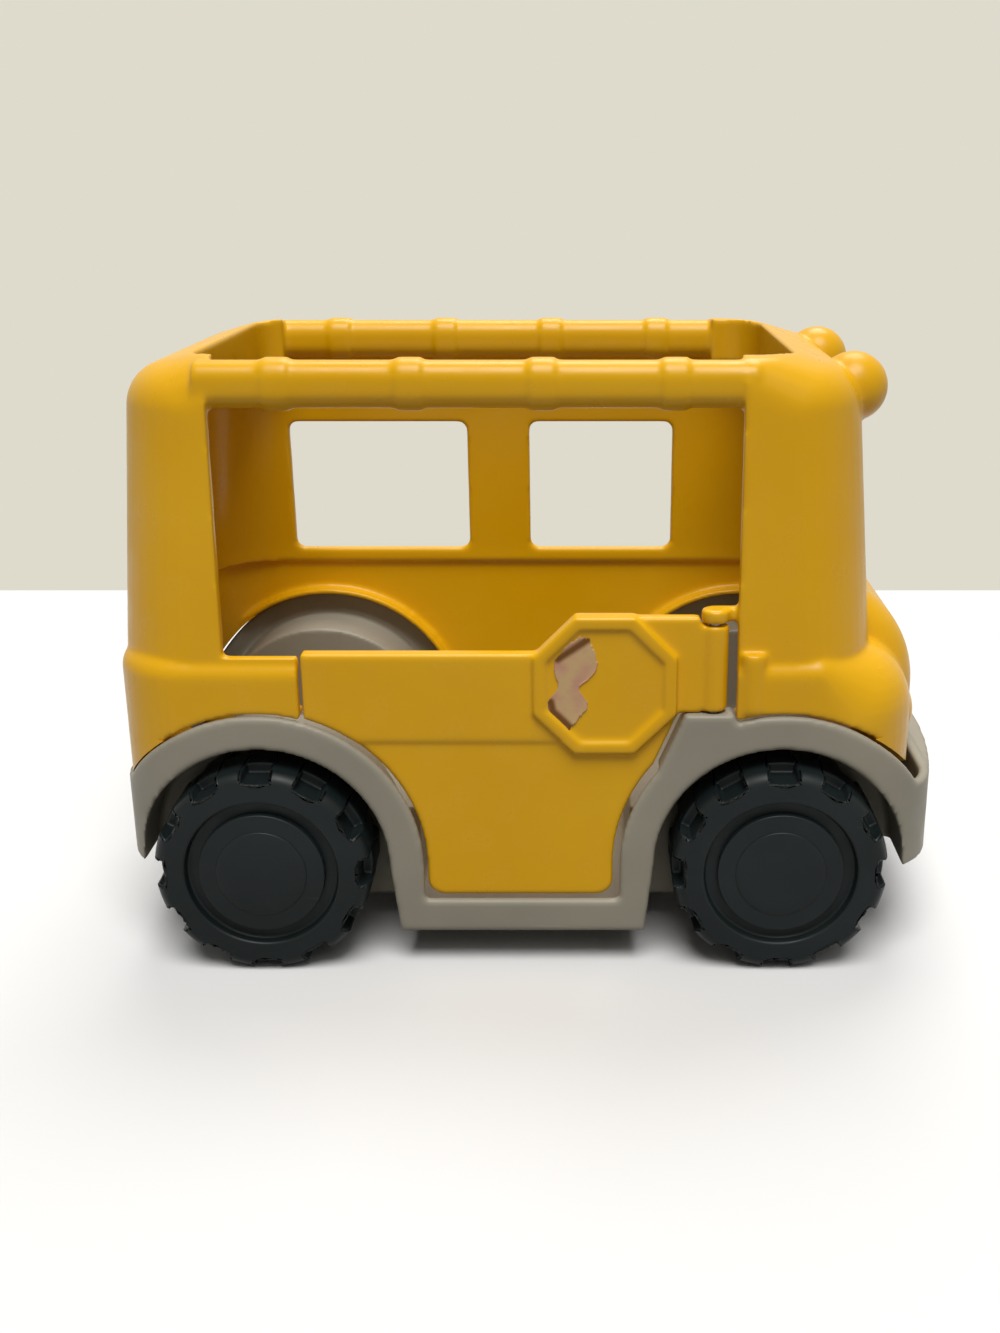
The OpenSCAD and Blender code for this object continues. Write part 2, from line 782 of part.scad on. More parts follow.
// Front bumper: a bar with a front that is slightly round seen from above
module bumper() {
    translate([0, 0, bumper_z]) linear_extrude(bumper_h) intersection() {
        translate([bumper_x - bumper_r, 0]) circle(bumper_r, $fn = dome_fn);
        translate([chassis_front_x - skirt_t / 2, -bumper_w / 2])
            square([skirt_t + 2 * bumper_out, bumper_w]);
    }
}

module chassis() {
    color(grey) difference() {
        union() {
            skirt();
            wheel_wells();
            floor_pan();
            bumper();
        }
        for (x = axles)
            translate([x, track_w / 2, axle_z]) rotate([90, 0, 0])
                cylinder(r = axle_d / 2 + run_gap, h = track_w);
        for (x = tower_xs, s = sides)
            translate([x, s * screw_y, deck_z - floor_t - over])
                cylinder(r = pilot_r + fit_gap / 2, h = floor_t + 2 * over);
        translate([hinge_x, -hinge_y, hinge_post_z - pin_sink]) cylinder(d = pin_d, h = pin_sink + over);
    }
}

module chassis_screws() {
    color(steel) for (x = tower_xs, s = sides)
        translate([x, s * screw_y, screw_head_z]) {
            cylinder(d = screw_head_d, h = screw_head_h);
            cylinder(d = screw_d, h = screw_head_h + screw_l);
        }
}

// Axle that ends inside both wheels
module axle(x) {
    axle_l = track_w - 2 * pocket_depth - 2 * spigot_l;
    color(steel) translate([x, axle_l / 2, axle_z]) rotate([90, 0, 0]) cylinder(d = axle_d, h = axle_l);
}

// Turns a wheel's own form, face up, to its place at one corner of the bus
module at_corner(x, s) {
    translate([x, s * (face_y - wheel_w), axle_z]) rotate([-s * 90, 0, 0]) children();
}

// Wheel: round shoulders, staggered tread blocks, a pocket for the hub cap and a hollow back
module wheel(x, s) {
    r = wheel_d / 2;
    color(black) at_corner(x, s) difference() {
        rotate_extrude() difference() {
            union() {
                square([r - shoulder_r, wheel_w]);
                translate([0, shoulder_r]) square([r, wheel_w - 2 * shoulder_r]);
                for (h = [shoulder_r, wheel_w - shoulder_r])
                    translate([r - shoulder_r, h]) circle(shoulder_r);
            }
            translate([0, wheel_w - pocket_depth]) square([pocket_r, pocket_depth + over]);
            translate([0, wheel_w - pocket_depth - spigot_l]) square([spigot_r, spigot_l + over]);
            translate([hub_r, -over]) square([back_r - hub_r, back_depth + over]);
            translate([0, -over]) square([axle_d / 2, wheel_w]);
        }
        for (i = [0 : tread_blocks - 1]) {
            rotate([0, 0, i * 360 / tread_blocks])
                translate([r - tread_depth, -tread_gap / 2, wheel_w - tread_reach])
                    cube([tread_depth + over, tread_gap, tread_reach + over]);
            rotate([0, 0, (i + 0.5) * 360 / tread_blocks])
                translate([r - tread_depth, -tread_gap / 2, -over])
                    cube([tread_depth + over, tread_gap, tread_reach + over]);
        }
    }
}

// Hub cap: a disc with a raised, slightly domed middle and a spigot that grips the wheel
module hub_cap(x, s) {
    cap_t = pocket_depth * cap_share;
    color(black) at_corner(x, s) translate([0, 0, wheel_w - pocket_depth]) rotate_extrude() {
        square([cap_r, cap_t]);
        intersection() {
            square([cap_step_r, pocket_depth]);
            translate([0, pocket_depth - dome_r]) circle(dome_r, $fn = dome_fn);
        }
        translate([axle_d / 2, -spigot_l]) square([spigot_r - axle_d / 2, spigot_l]);
    }
}

body_shell();
side_door();
door_pin();
chassis();
chassis_screws();
axle(front_x);  // front_axle
axle(rear_x);  // rear_axle
wheel(front_x, 1);  // wheel_front_left
wheel(front_x, -1);  // wheel_front_right
wheel(rear_x, 1);  // wheel_rear_left
wheel(rear_x, -1);  // wheel_rear_right
hub_cap(front_x, 1);  // hub_cap_front_left
hub_cap(front_x, -1);  // hub_cap_front_right
hub_cap(rear_x, 1);  // hub_cap_rear_left
hub_cap(rear_x, -1);  // hub_cap_rear_right
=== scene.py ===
"""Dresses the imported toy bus: rounded mouldings, worn plastics, a torn paper patch and a plain stage."""

import json
import math

import bmesh
import bpy
import numpy as np
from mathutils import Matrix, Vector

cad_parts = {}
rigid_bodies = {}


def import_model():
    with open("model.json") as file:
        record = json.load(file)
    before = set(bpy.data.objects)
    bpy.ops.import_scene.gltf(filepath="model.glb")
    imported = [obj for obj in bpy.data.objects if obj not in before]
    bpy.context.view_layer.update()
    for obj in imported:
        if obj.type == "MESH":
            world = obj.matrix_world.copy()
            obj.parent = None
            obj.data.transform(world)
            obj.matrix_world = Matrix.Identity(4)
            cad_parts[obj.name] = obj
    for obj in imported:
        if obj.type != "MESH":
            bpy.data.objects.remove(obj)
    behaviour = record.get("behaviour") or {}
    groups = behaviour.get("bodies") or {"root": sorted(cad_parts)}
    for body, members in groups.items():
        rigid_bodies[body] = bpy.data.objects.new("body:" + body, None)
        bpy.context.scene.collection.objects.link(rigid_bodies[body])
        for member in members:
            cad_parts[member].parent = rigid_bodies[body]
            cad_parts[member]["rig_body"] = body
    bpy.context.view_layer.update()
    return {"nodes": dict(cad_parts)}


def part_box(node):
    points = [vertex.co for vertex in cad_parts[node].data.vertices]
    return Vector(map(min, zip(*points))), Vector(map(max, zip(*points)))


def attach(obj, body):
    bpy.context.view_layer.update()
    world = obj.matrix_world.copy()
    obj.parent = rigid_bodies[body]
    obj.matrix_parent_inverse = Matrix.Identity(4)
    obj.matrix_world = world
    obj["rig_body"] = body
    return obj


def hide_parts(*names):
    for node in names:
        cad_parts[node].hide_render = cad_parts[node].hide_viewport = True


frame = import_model()

bl_info = {
    "name": "Toy bus dresser",
    "version": (1, 0, 0),
    "blender": (4, 5, 0),
    "location": "3D View > Sidebar > Toy bus",
    "description": "Gives the toy bus its moulded edges, plastics, paper patch and stage",
    "category": "Object",
}

MM = 0.001
ENDS = {"front": 1, "rear": -1}
SIDES = {"left": 1, "right": -1}
# points of the CAD's loose triangles that lie this close are one point
MERGE = 0.003 * MM
# faces that bend less than this are made one, and a bend sharper than an edge's stays an edge
FLAT_BEND = math.radians(0.6)
EDGE_BEND = math.radians(30)
SENSOR_MM = 36


def linear(code):
    """Linear RGB of an sRGB hex colour such as e0a800."""
    s = np.array([int(code[i:i + 2], 16) for i in (0, 2, 4)]) / 255
    return tuple(np.where(s <= 0.04045, s / 12.92, ((s + 0.055) / 1.055) ** 2.4))


def shade(name, code):
    """A colour property with its default as sRGB hex."""
    return bpy.props.FloatVectorProperty(
        name=name, description=f"Colour of the {name.lower()}", subtype="COLOR",
        size=3, min=0, max=1, default=linear(code))


def length(name, description, default_mm):
    """A length property with its default in millimetres."""
    return bpy.props.FloatProperty(
        name=name, description=description, default=default_mm * MM, min=0, unit="LENGTH", precision=5)


def angle(name, description, default_degrees):
    """An angle property with its default in degrees."""
    return bpy.props.FloatProperty(
        name=name, description=description, default=math.radians(default_degrees), subtype="ANGLE")


def number(name, description, default):
    """A plain number property."""
    return bpy.props.FloatProperty(name=name, description=description, default=default)


def count(name, description, default):
    """A whole number property."""
    return bpy.props.IntProperty(name=name, description=description, default=default, min=0)


class ToyBusColours(bpy.types.PropertyGroup):
    """Colours of the mouldings, the metal and the paper."""
    yellow: shade("Yellow plastic", "dda404")
    yellow_faded: shade("Faded yellow", "e4ae14")
    grey: shade("Grey plastic", "8c8677")
    grey_faded: shade("Faded grey", "9f9888")
    black: shade("Wheel plastic", "0d1314")
    black_faded: shade("Scuffed wheel plastic", "22292a")
    steel: shade("Steel", "b9bdc1")
    paper: shade("Torn paper", "c8a676")
    blush: shade("Pinkish layer of the paper", "c28f76")
    # dark brown along two of the paper's torn edges
    dark_brown: shade("Dark brown edges", "6a3f0a")
    floor: shade("Floor", "dcdbd9")
    bounce: shade("Light thrown back by the floor", "807f7d")
    wall: shade("Backdrop", "dedbcd")


class ToyBusEdges(bpy.types.PropertyGroup):
    """How far the moulded edges are rounded."""
    body_grain: length("Body grain", "Grid on which the yellow body's edges are softened", 0.5)
    body_passes: count("Body passes", "How often the yellow body is evened out", 6)
    body_kept: number("Body faces kept", "Share of the grid's faces that the yellow body keeps", 0.3)
    door_grain: length("Door grain", "Grid on which the door's and the sign's edges are softened", 0.42)
    door_passes: count("Door passes", "How often the door is evened out", 9)
    door_kept: number("Door faces kept", "Share of the grid's faces that the door keeps", 0.6)
    chassis_grain: length("Chassis grain", "Grid on which the grey chassis's edges are softened", 0.55)
    chassis_passes: count("Chassis passes", "How often the grey chassis is evened out", 3)
    chassis_kept: number("Chassis faces kept", "Share of the grid's faces that the grey chassis keeps", 0.35)
    corner_along: length("Corner along", "Distance from the middle at which the body's thin corners start", 62)
    corner_out: length("Corner side", "Distance from the middle line at which the thin corners start", 26)
    corner_top: length("Corner top", "Height up to which the thin corners reach", 46)
    wheel: length("Wheel edge", "Rounding of the tread blocks", 0.6)
    cap: length("Hub cap edge", "Rounding of the hub cap", 0.3)
    disc_radius: length("Hub disc radius", "Radius of the hub cap's raised middle", 8.6)
    disc_rise: length("Hub disc rise", "Height of the hub cap's raised middle over its rim", 0.75)
    disc_seat: length("Hub disc seat", "Depth of the rim's face behind the hub cap's highest point", 0.7)


class ToyBusPaper(bpy.types.PropertyGroup):
    """The torn patch of bare paper on the sign."""
    thickness: length("Thickness", "Thickness of the paper", 0.16)
    tear: length("Tear", "Depth of the torn edge's teeth", 0.3)
    curl: length("Curl", "How far the torn edge lifts", 0.12)
    # half width of the dark brown runs along two of the paper's edges
    dark_run: length("Dark brown run", "Half width of the dark brown runs", 0.7)
    middle_x: length("Sign along", "Place of the octagon's middle along the bus", 12.5)
    middle_z: length("Sign height", "Height of the octagon's middle", 57)
    sink: length("Sunk face", "Depth of the octagon's face behind its rim", 0.7)


class ToyBusStage(bpy.types.PropertyGroup):
    """Camera, lamps and floor."""
    eye: bpy.props.FloatVectorProperty(
        name="Camera", description="Place of the camera", subtype="TRANSLATION", unit="LENGTH",
        default=(0.0085, -0.303, 0.147))
    pitch: angle("Pitch", "How far the camera looks down", 18.4)
    focal: number("Focal length", "Focal length in millimetres on a 36 mm long side", 40.2)
    shift: number("Shift", "Sideways shift of the frame, in long sides", -0.0623)
    key_height: angle("Key lamp height", "How far up the lamp above stands", 67)
    key_turn: angle("Key lamp turn", "How far the lamp above is turned from the front to the nose", 5)
    key_level: number("Key lamp", "Level of the lamp above", 0.9)
    fill_height: angle("Fill lamp height", "How far up the lamp in front stands", 50)
    fill_turn: angle("Fill lamp turn", "How far the lamp in front is turned from the front to the nose", 20)
    fill_level: number("Fill lamp", "Level of the lamp in front", 0.1)
    back_height: angle("Back lamp height", "How far up the lamp behind stands", 57)
    back_turn: angle("Back lamp turn", "How far the lamp behind is turned from the front to the nose", 172)
    back_level: number("Back lamp", "Level of the lamp behind", 0.5)
    softness: angle("Lamp softness", "How wide each lamp looks from the bus", 35)
    world: number("World", "Level of the even light all round", 0.15)
    table_edge: length("Table edge", "Distance behind the bus at which the backdrop starts", 228)
    table_reach: length("Table reach", "How far the table runs to the sides and the front", 6000)


def add(tree, kind, inputs=None, **settings):
    """Adds a node with its settings; each input is a value, or an output to link."""
    node = tree.nodes.new(kind)
    for key, value in settings.items():
        setattr(node, key, value)
    for key, value in (inputs or {}).items():
        if isinstance(value, bpy.types.NodeSocket):
            tree.links.new(value, node.inputs[key])
        else:
            node.inputs[key].default_value = value
    return node


def new_material(name):
    """An empty node material with its output."""
    material = bpy.data.materials.new(name)
    material.use_nodes = True
    material.node_tree.nodes.clear()
    return material, material.node_tree, add(material.node_tree, "ShaderNodeOutputMaterial")


def per_mm(size):
    """Texture scale at which one feature is so many millimetres wide."""
    return 1 / (size * MM)


def moulded_plastic(name, colour, faded, rough, gloss_spread, shine, peel_mm, scuff_share):
    """Injection-moulded thermoplastic that has been played with: the colour is fuller in some places and
    faded in others, a fine orange peel breaks up the reflections, and short scuffs catch the light."""
    material, tree, out = new_material(name)
    place = add(tree, "ShaderNodeTexCoord").outputs["Object"]
    # patches of fading and handling, about 35 mm across
    patches = add(tree, "ShaderNodeTexNoise", {
        "Vector": place, "Scale": per_mm(35), "Detail": 3.0, "Roughness": 0.55})
    fade = add(tree, "ShaderNodeMapRange", {
        "Value": patches.outputs["Fac"], "From Min": 0.38, "From Max": 0.72, "To Min": 0.0, "To Max": 0.55})
    # scuffs, 9 mm long and 0.35 mm wide, drawn wider than real hairlines so that they show
    turned = add(tree, "ShaderNodeMapping", {
        "Vector": place, "Rotation": (0.35, 0.6, 0.25),
        "Scale": (per_mm(9), per_mm(0.35), per_mm(0.9))})
    streaks = add(tree, "ShaderNodeTexNoise", {
        "Vector": turned.outputs["Vector"], "Scale": 1.0, "Detail": 2.0, "Roughness": 0.5})
    # scuffs come in clusters of about 14 mm
    clusters = add(tree, "ShaderNodeTexNoise", {"Vector": place, "Scale": per_mm(14), "Detail": 2.0})
    streak = add(tree, "ShaderNodeMapRange", {
        "Value": streaks.outputs["Fac"], "From Min": 0.66, "From Max": 0.74, "To Min": 0.0, "To Max": 1.0})
    cluster = add(tree, "ShaderNodeMapRange", {
        "Value": clusters.outputs["Fac"], "From Min": 0.5, "From Max": 0.68,
        "To Min": 0.0, "To Max": scuff_share})
    scuff = add(tree, "ShaderNodeMath", {
        0: streak.outputs["Result"], 1: cluster.outputs["Result"]}, operation="MULTIPLY")
    tint = add(tree, "ShaderNodeMath", {
        0: fade.outputs["Result"], 1: scuff.outputs["Value"]}, operation="ADD", use_clamp=True)
    base = add(tree, "ShaderNodeMix", {
        "Factor": tint.outputs["Value"], "A": (*colour, 1), "B": (*faded, 1)}, data_type="RGBA")
    # finger marks, about 6 mm across, vary the gloss
    marks = add(tree, "ShaderNodeTexNoise", {"Vector": place, "Scale": per_mm(6), "Detail": 4.0})
    gloss = add(tree, "ShaderNodeMapRange", {
        "Value": marks.outputs["Fac"], "From Min": 0.3, "From Max": 0.7,
        "To Min": rough - gloss_spread, "To Max": rough + gloss_spread})
    dull = add(tree, "ShaderNodeMath", {
        0: scuff.outputs["Value"], 1: 0.2, 2: gloss.outputs["Result"]}, operation="MULTIPLY_ADD")
    peel = add(tree, "ShaderNodeTexNoise", {"Vector": place, "Scale": per_mm(peel_mm), "Detail": 2.0})
    height = add(tree, "ShaderNodeMath", {
        0: scuff.outputs["Value"], 1: -1.0, 2: peel.outputs["Fac"]}, operation="MULTIPLY_ADD")
    bump = add(tree, "ShaderNodeBump", {
        "Height": height.outputs["Value"], "Strength": 0.12, "Distance": 0.04 * MM})
    shader = add(tree, "ShaderNodeBsdfPrincipled", {
        "Base Color": base.outputs["Result"], "Roughness": dull.outputs["Value"], "IOR": 1.5,
        "Specular IOR Level": shine, "Normal": bump.outputs["Normal"]})
    tree.links.new(shader.outputs["BSDF"], out.inputs["Surface"])
    return material


def drawn_steel(name, colour):
    """Cold-drawn steel rod: bright, with fine drawing lines along it about 0.3 mm apart."""
    material, tree, out = new_material(name)
    place = add(tree, "ShaderNodeTexCoord").outputs["Object"]
    along = add(tree, "ShaderNodeMapping", {
        "Vector": place, "Scale": (per_mm(0.3), per_mm(12), per_mm(0.3))})
    lines = add(tree, "ShaderNodeTexNoise", {"Vector": along.outputs["Vector"], "Scale": 1.0, "Detail": 3.0})
    gloss = add(tree, "ShaderNodeMapRange", {
        "Value": lines.outputs["Fac"], "From Min": 0.3, "From Max": 0.7, "To Min": 0.28, "To Max": 0.45})
    shader = add(tree, "ShaderNodeBsdfPrincipled", {
        "Base Color": (*colour, 1), "Metallic": 1.0, "Roughness": gloss.outputs["Result"]})
    tree.links.new(shader.outputs["BSDF"], out.inputs["Surface"])
    return material


def torn_paper(name, colour, blush, dark_brown):
    """Uncoated paper torn off a glued patch: matt, mottled by fibres and by a pinkish layer that is left in
    places, and dark brown along two edges."""
    material, tree, out = new_material(name)
    place = add(tree, "ShaderNodeTexCoord").outputs["Object"]
    # fibres, about 0.4 mm across
    fibres = add(tree, "ShaderNodeTexNoise", {"Vector": place, "Scale": per_mm(0.4), "Detail": 4.0})
    # patches of the pinkish layer, about 4 mm across
    mottle = add(tree, "ShaderNodeTexNoise", {"Vector": place, "Scale": per_mm(4), "Detail": 3.0})
    layer = add(tree, "ShaderNodeMapRange", {
        "Value": mottle.outputs["Fac"], "From Min": 0.4, "From Max": 0.62, "To Min": 0.0, "To Max": 1.0})
    sheet = add(tree, "ShaderNodeMix", {
        "Factor": layer.outputs["Result"], "A": (*colour, 1), "B": (*blush, 1)}, data_type="RGBA")
    # the paper turns dark brown where this point attribute is 1, along two of its edges
    dark_run = add(tree, "ShaderNodeAttribute", attribute_name="dark_run")
    base = add(tree, "ShaderNodeMix", {
        "Factor": dark_run.outputs["Fac"], "A": sheet.outputs["Result"], "B": (*dark_brown, 1)}, data_type="RGBA")
    bump = add(tree, "ShaderNodeBump", {
        "Height": fibres.outputs["Fac"], "Strength": 0.4, "Distance": 0.05 * MM})
    shader = add(tree, "ShaderNodeBsdfPrincipled", {
        "Base Color": base.outputs["Result"], "Roughness": 0.85, "Normal": bump.outputs["Normal"]})
    tree.links.new(shader.outputs["BSDF"], out.inputs["Surface"])
    return material


def yellow_plastic(colours):
    """Yellow ABS, moulded in a polished tool: glossy, warm and slightly uneven."""
    return moulded_plastic(
        "ABS_moulded_yellow", colours.yellow, colours.yellow_faded,
        rough=0.32, gloss_spread=0.06, shine=0.28, peel_mm=0.9, scuff_share=0.35)


def grey_plastic(colours):
    """Grey ABS, moulded in a finely etched tool: satin, with pale handling marks."""
    return moulded_plastic(
        "ABS_moulded_grey", colours.grey, colours.grey_faded,
        rough=0.46, gloss_spread=0.06, shine=0.3, peel_mm=0.6, scuff_share=0.4)


def black_plastic(colours):
    """Blue-black polyethylene wheel moulding: waxy, rubbed paler where it rolls."""
    return moulded_plastic(
        "PE_moulded_black", colours.black, colours.black_faded,
        rough=0.42, gloss_spread=0.08, shine=0.2, peel_mm=0.7, scuff_share=0.5)


def new_piece(name, mesh, material):
    """A smooth-shaded piece of one material, at the origin."""
    mesh.materials.append(material)
    mesh.polygons.foreach_set("use_smooth", np.ones(len(mesh.polygons), bool))
    piece = bpy.data.objects.new(name, mesh)
    bpy.context.scene.collection.objects.link(piece)
    return piece


def joined_triangles(node):
    """A CAD node's loose triangles as one bmesh, with the points that coincide joined."""
    work = bmesh.new()
    work.from_mesh(frame["nodes"][node].data)
    bmesh.ops.remove_doubles(work, verts=work.verts, dist=MERGE)
    return work


def finished_mesh(name, work):
    """A mesh from a bmesh, which is then done with."""
    mesh = bpy.data.meshes.new(name)
    work.to_mesh(mesh)
    work.free()
    return mesh


def moulded_copy(node, material):
    """A copy of a CAD node's mesh with its triangles joined and its flat areas made whole, which stands for
    the node in the given material."""
    work = joined_triangles(node)
    bmesh.ops.dissolve_limit(work, angle_limit=FLAT_BEND, verts=work.verts, edges=work.edges)
    name = f"moulded_{node}"
    piece = new_piece(name, finished_mesh(name, work), material)
    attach(piece, frame["nodes"][node]["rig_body"])
    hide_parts(node)
    return piece


def round_edges(piece, width):
    """Rounds every edge to the given width, in two steps."""
    rounding = piece.modifiers.new("rounded_edges", "BEVEL")
    rounding.width = width
    rounding.segments = 2
    rounding.limit_method = "ANGLE"
    rounding.angle_limit = EDGE_BEND
    rounding.use_clamp_overlap = False
    rounding.harden_normals = True
    even = piece.modifiers.new("even_shading", "WEIGHTED_NORMAL")
    even.keep_sharp = True


def soften_form(piece, grain, passes, kept):
    """Redraws a piece on a fine grid and evens it out, so that its edges, blends and small steps run into
    each other over about one grain, as in a thick soft-edged moulding. The given share of the grid's faces is
    kept, where the form bends."""
    grid = piece.modifiers.new("fine_grid", "REMESH")
    grid.mode = "VOXEL"
    grid.voxel_size = grain
    grid.use_smooth_shade = True
    even = piece.modifiers.new("soft_edges", "SMOOTH")
    even.factor = 0.5
    even.iterations = passes
    fewer = piece.modifiers.new("fewer_faces", "DECIMATE")
    fewer.ratio = kept


class TOYBUS_OT_body(bpy.types.Operator):
    """Rounds the yellow body and the side door and gives them worn yellow plastic"""
    bl_idname = "toybus.body"
    bl_label = "Body and door"

    def thin_corner(self, end, side, edges, material):
        """One lower corner of the body as it was cut, laid over the softened body, whose grid is too coarse
        for the thin edge over the wheel arch."""
        ahead, out = ENDS[end], SIDES[side]
        work = joined_triangles("body_shell")
        for place, away in (
                ((ahead * edges.corner_along, 0, 0), (-ahead, 0, 0)),
                ((0, out * edges.corner_out, 0), (0, -out, 0)),
                ((0, 0, edges.corner_top), (0, 0, 1))):
            bmesh.ops.bisect_plane(
                work, geom=work.verts[:] + work.edges[:] + work.faces[:], plane_co=place, plane_no=away,
                clear_outer=True)
            bmesh.ops.holes_fill(work, edges=work.edges[:])
        name = f"thin_corner_{end}_{side}"
        corner = new_piece(name, finished_mesh(name, work), material)
        corner.data.set_sharp_from_angle(angle=EDGE_BEND)
        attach(corner, "bus_body")

    def execute(self, context):
        edges = context.scene.toybus_edges
        yellow = yellow_plastic(context.scene.toybus_colours)
        body = moulded_copy("body_shell", yellow)
        soften_form(body, edges.body_grain, edges.body_passes, edges.body_kept)
        for end in ENDS:
            for side in SIDES:
                self.thin_corner(end, side, edges, yellow)
        door = moulded_copy("side_door", yellow)
        soften_form(door, edges.door_grain, edges.door_passes, edges.door_kept)
        return {"FINISHED"}


class TOYBUS_OT_chassis(bpy.types.Operator):
    """Rounds the grey chassis and finishes the metal that holds it all together"""
    bl_idname = "toybus.chassis"
    bl_label = "Chassis and metal"

    def execute(self, context):
        edges = context.scene.toybus_edges
        colours = context.scene.toybus_colours
        chassis = moulded_copy("chassis", grey_plastic(colours))
        soften_form(chassis, edges.chassis_grain, edges.chassis_passes, edges.chassis_kept)
        steel = drawn_steel("Steel_drawn", colours.steel)
        for node in ("door_pin", "chassis_screws", "front_axle", "rear_axle"):
            metal = frame["nodes"][node]
            metal.data.materials.clear()
            metal.data.materials.append(steel)
        return {"FINISHED"}


def fan_piece(name, hub, rings, material):
    """A new piece made of rings about a hub: rings is an array (row, point, xyz) that runs from the innermost
    row to the rim, clockwise as seen from outside."""
    rows, around = rings.shape[:2]
    j = np.arange(around)
    k = (j + 1) % around
    first = np.stack([np.zeros(around, int), 1 + k, 1 + j], axis=1)
    i = np.arange(rows - 1)[:, None] * around
    quads = np.stack([1 + i + j, 1 + i + k, 1 + i + around + k, 1 + i + around + j], axis=-1)
    mesh = bpy.data.meshes.new(name)
    mesh.from_pydata(
        np.vstack([hub, rings.reshape(-1, 3)]).tolist(), [], first.tolist() + quads.reshape(-1, 4).tolist())
    mesh.validate()
    return new_piece(name, mesh, material)


class TOYBUS_OT_wheels(bpy.types.Operator):
    """Rounds the tread blocks and hub caps and gives them blue-black plastic"""
    bl_idname = "toybus.wheels"
    bl_label = "Wheels and hub caps"

    DISC_STEPS = 20
    DISC_AROUND = 96
    DISC_POWER = 6

    def raised_disc(self, end, side, edges, material):
        """The raised middle of a hub cap: the superellipse (r / radius)^6 + (h / rise)^6 = 1 turned about the
        axle, where h is the height outwards from the cap's rim."""
        low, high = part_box(f"hub_cap_{end}_{side}")
        out = SIDES[side]
        face_y = (high.y if side == "left" else low.y) - out * edges.disc_seat
        x, z = (low.x + high.x) / 2, (low.z + high.z) / 2
        t = np.linspace(np.pi / 2, 0, self.DISC_STEPS)[1:, None]
        a = np.linspace(0, 2 * np.pi, self.DISC_AROUND, endpoint=False)[None]
        r = edges.disc_radius * np.cos(t) ** (2 / self.DISC_POWER)
        h = edges.disc_rise * np.sin(t) ** (2 / self.DISC_POWER)
        rings = np.stack([x + r * np.cos(a), face_y + out * h + 0 * a, z + out * r * np.sin(a)], axis=-1)
        hub = (x, face_y + out * edges.disc_rise, z)
        disc = fan_piece(f"hub_disc_{end}_{side}", hub, rings, material)
        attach(disc, f"{end}_wheels")

    def execute(self, context):
        edges = context.scene.toybus_edges
        black = black_plastic(context.scene.toybus_colours)
        for end in ENDS:
            for side in SIDES:
                round_edges(moulded_copy(f"wheel_{end}_{side}", black), edges.wheel)
                round_edges(moulded_copy(f"hub_cap_{end}_{side}", black), edges.cap)
                self.raised_disc(end, side, edges, black)
        return {"FINISHED"}


def closed_loop(turn, points, damp):
    """A smooth closed curve through points, read at turns from 0 to 1: the points' discrete Fourier series,
    each harmonic damped by exp(-damp (order / count)^2)."""
    size = len(points)
    harmonics = np.fft.fft(points[:, 0] + 1j * points[:, 1]) / size
    order = np.fft.fftfreq(size, 1 / size)
    damping = np.exp(-((order / size) ** 2) * damp)
    wave = np.exp(2j * np.pi * np.outer(turn, order)) @ (harmonics * damping)
    return np.stack([wave.real, wave.imag], axis=1)


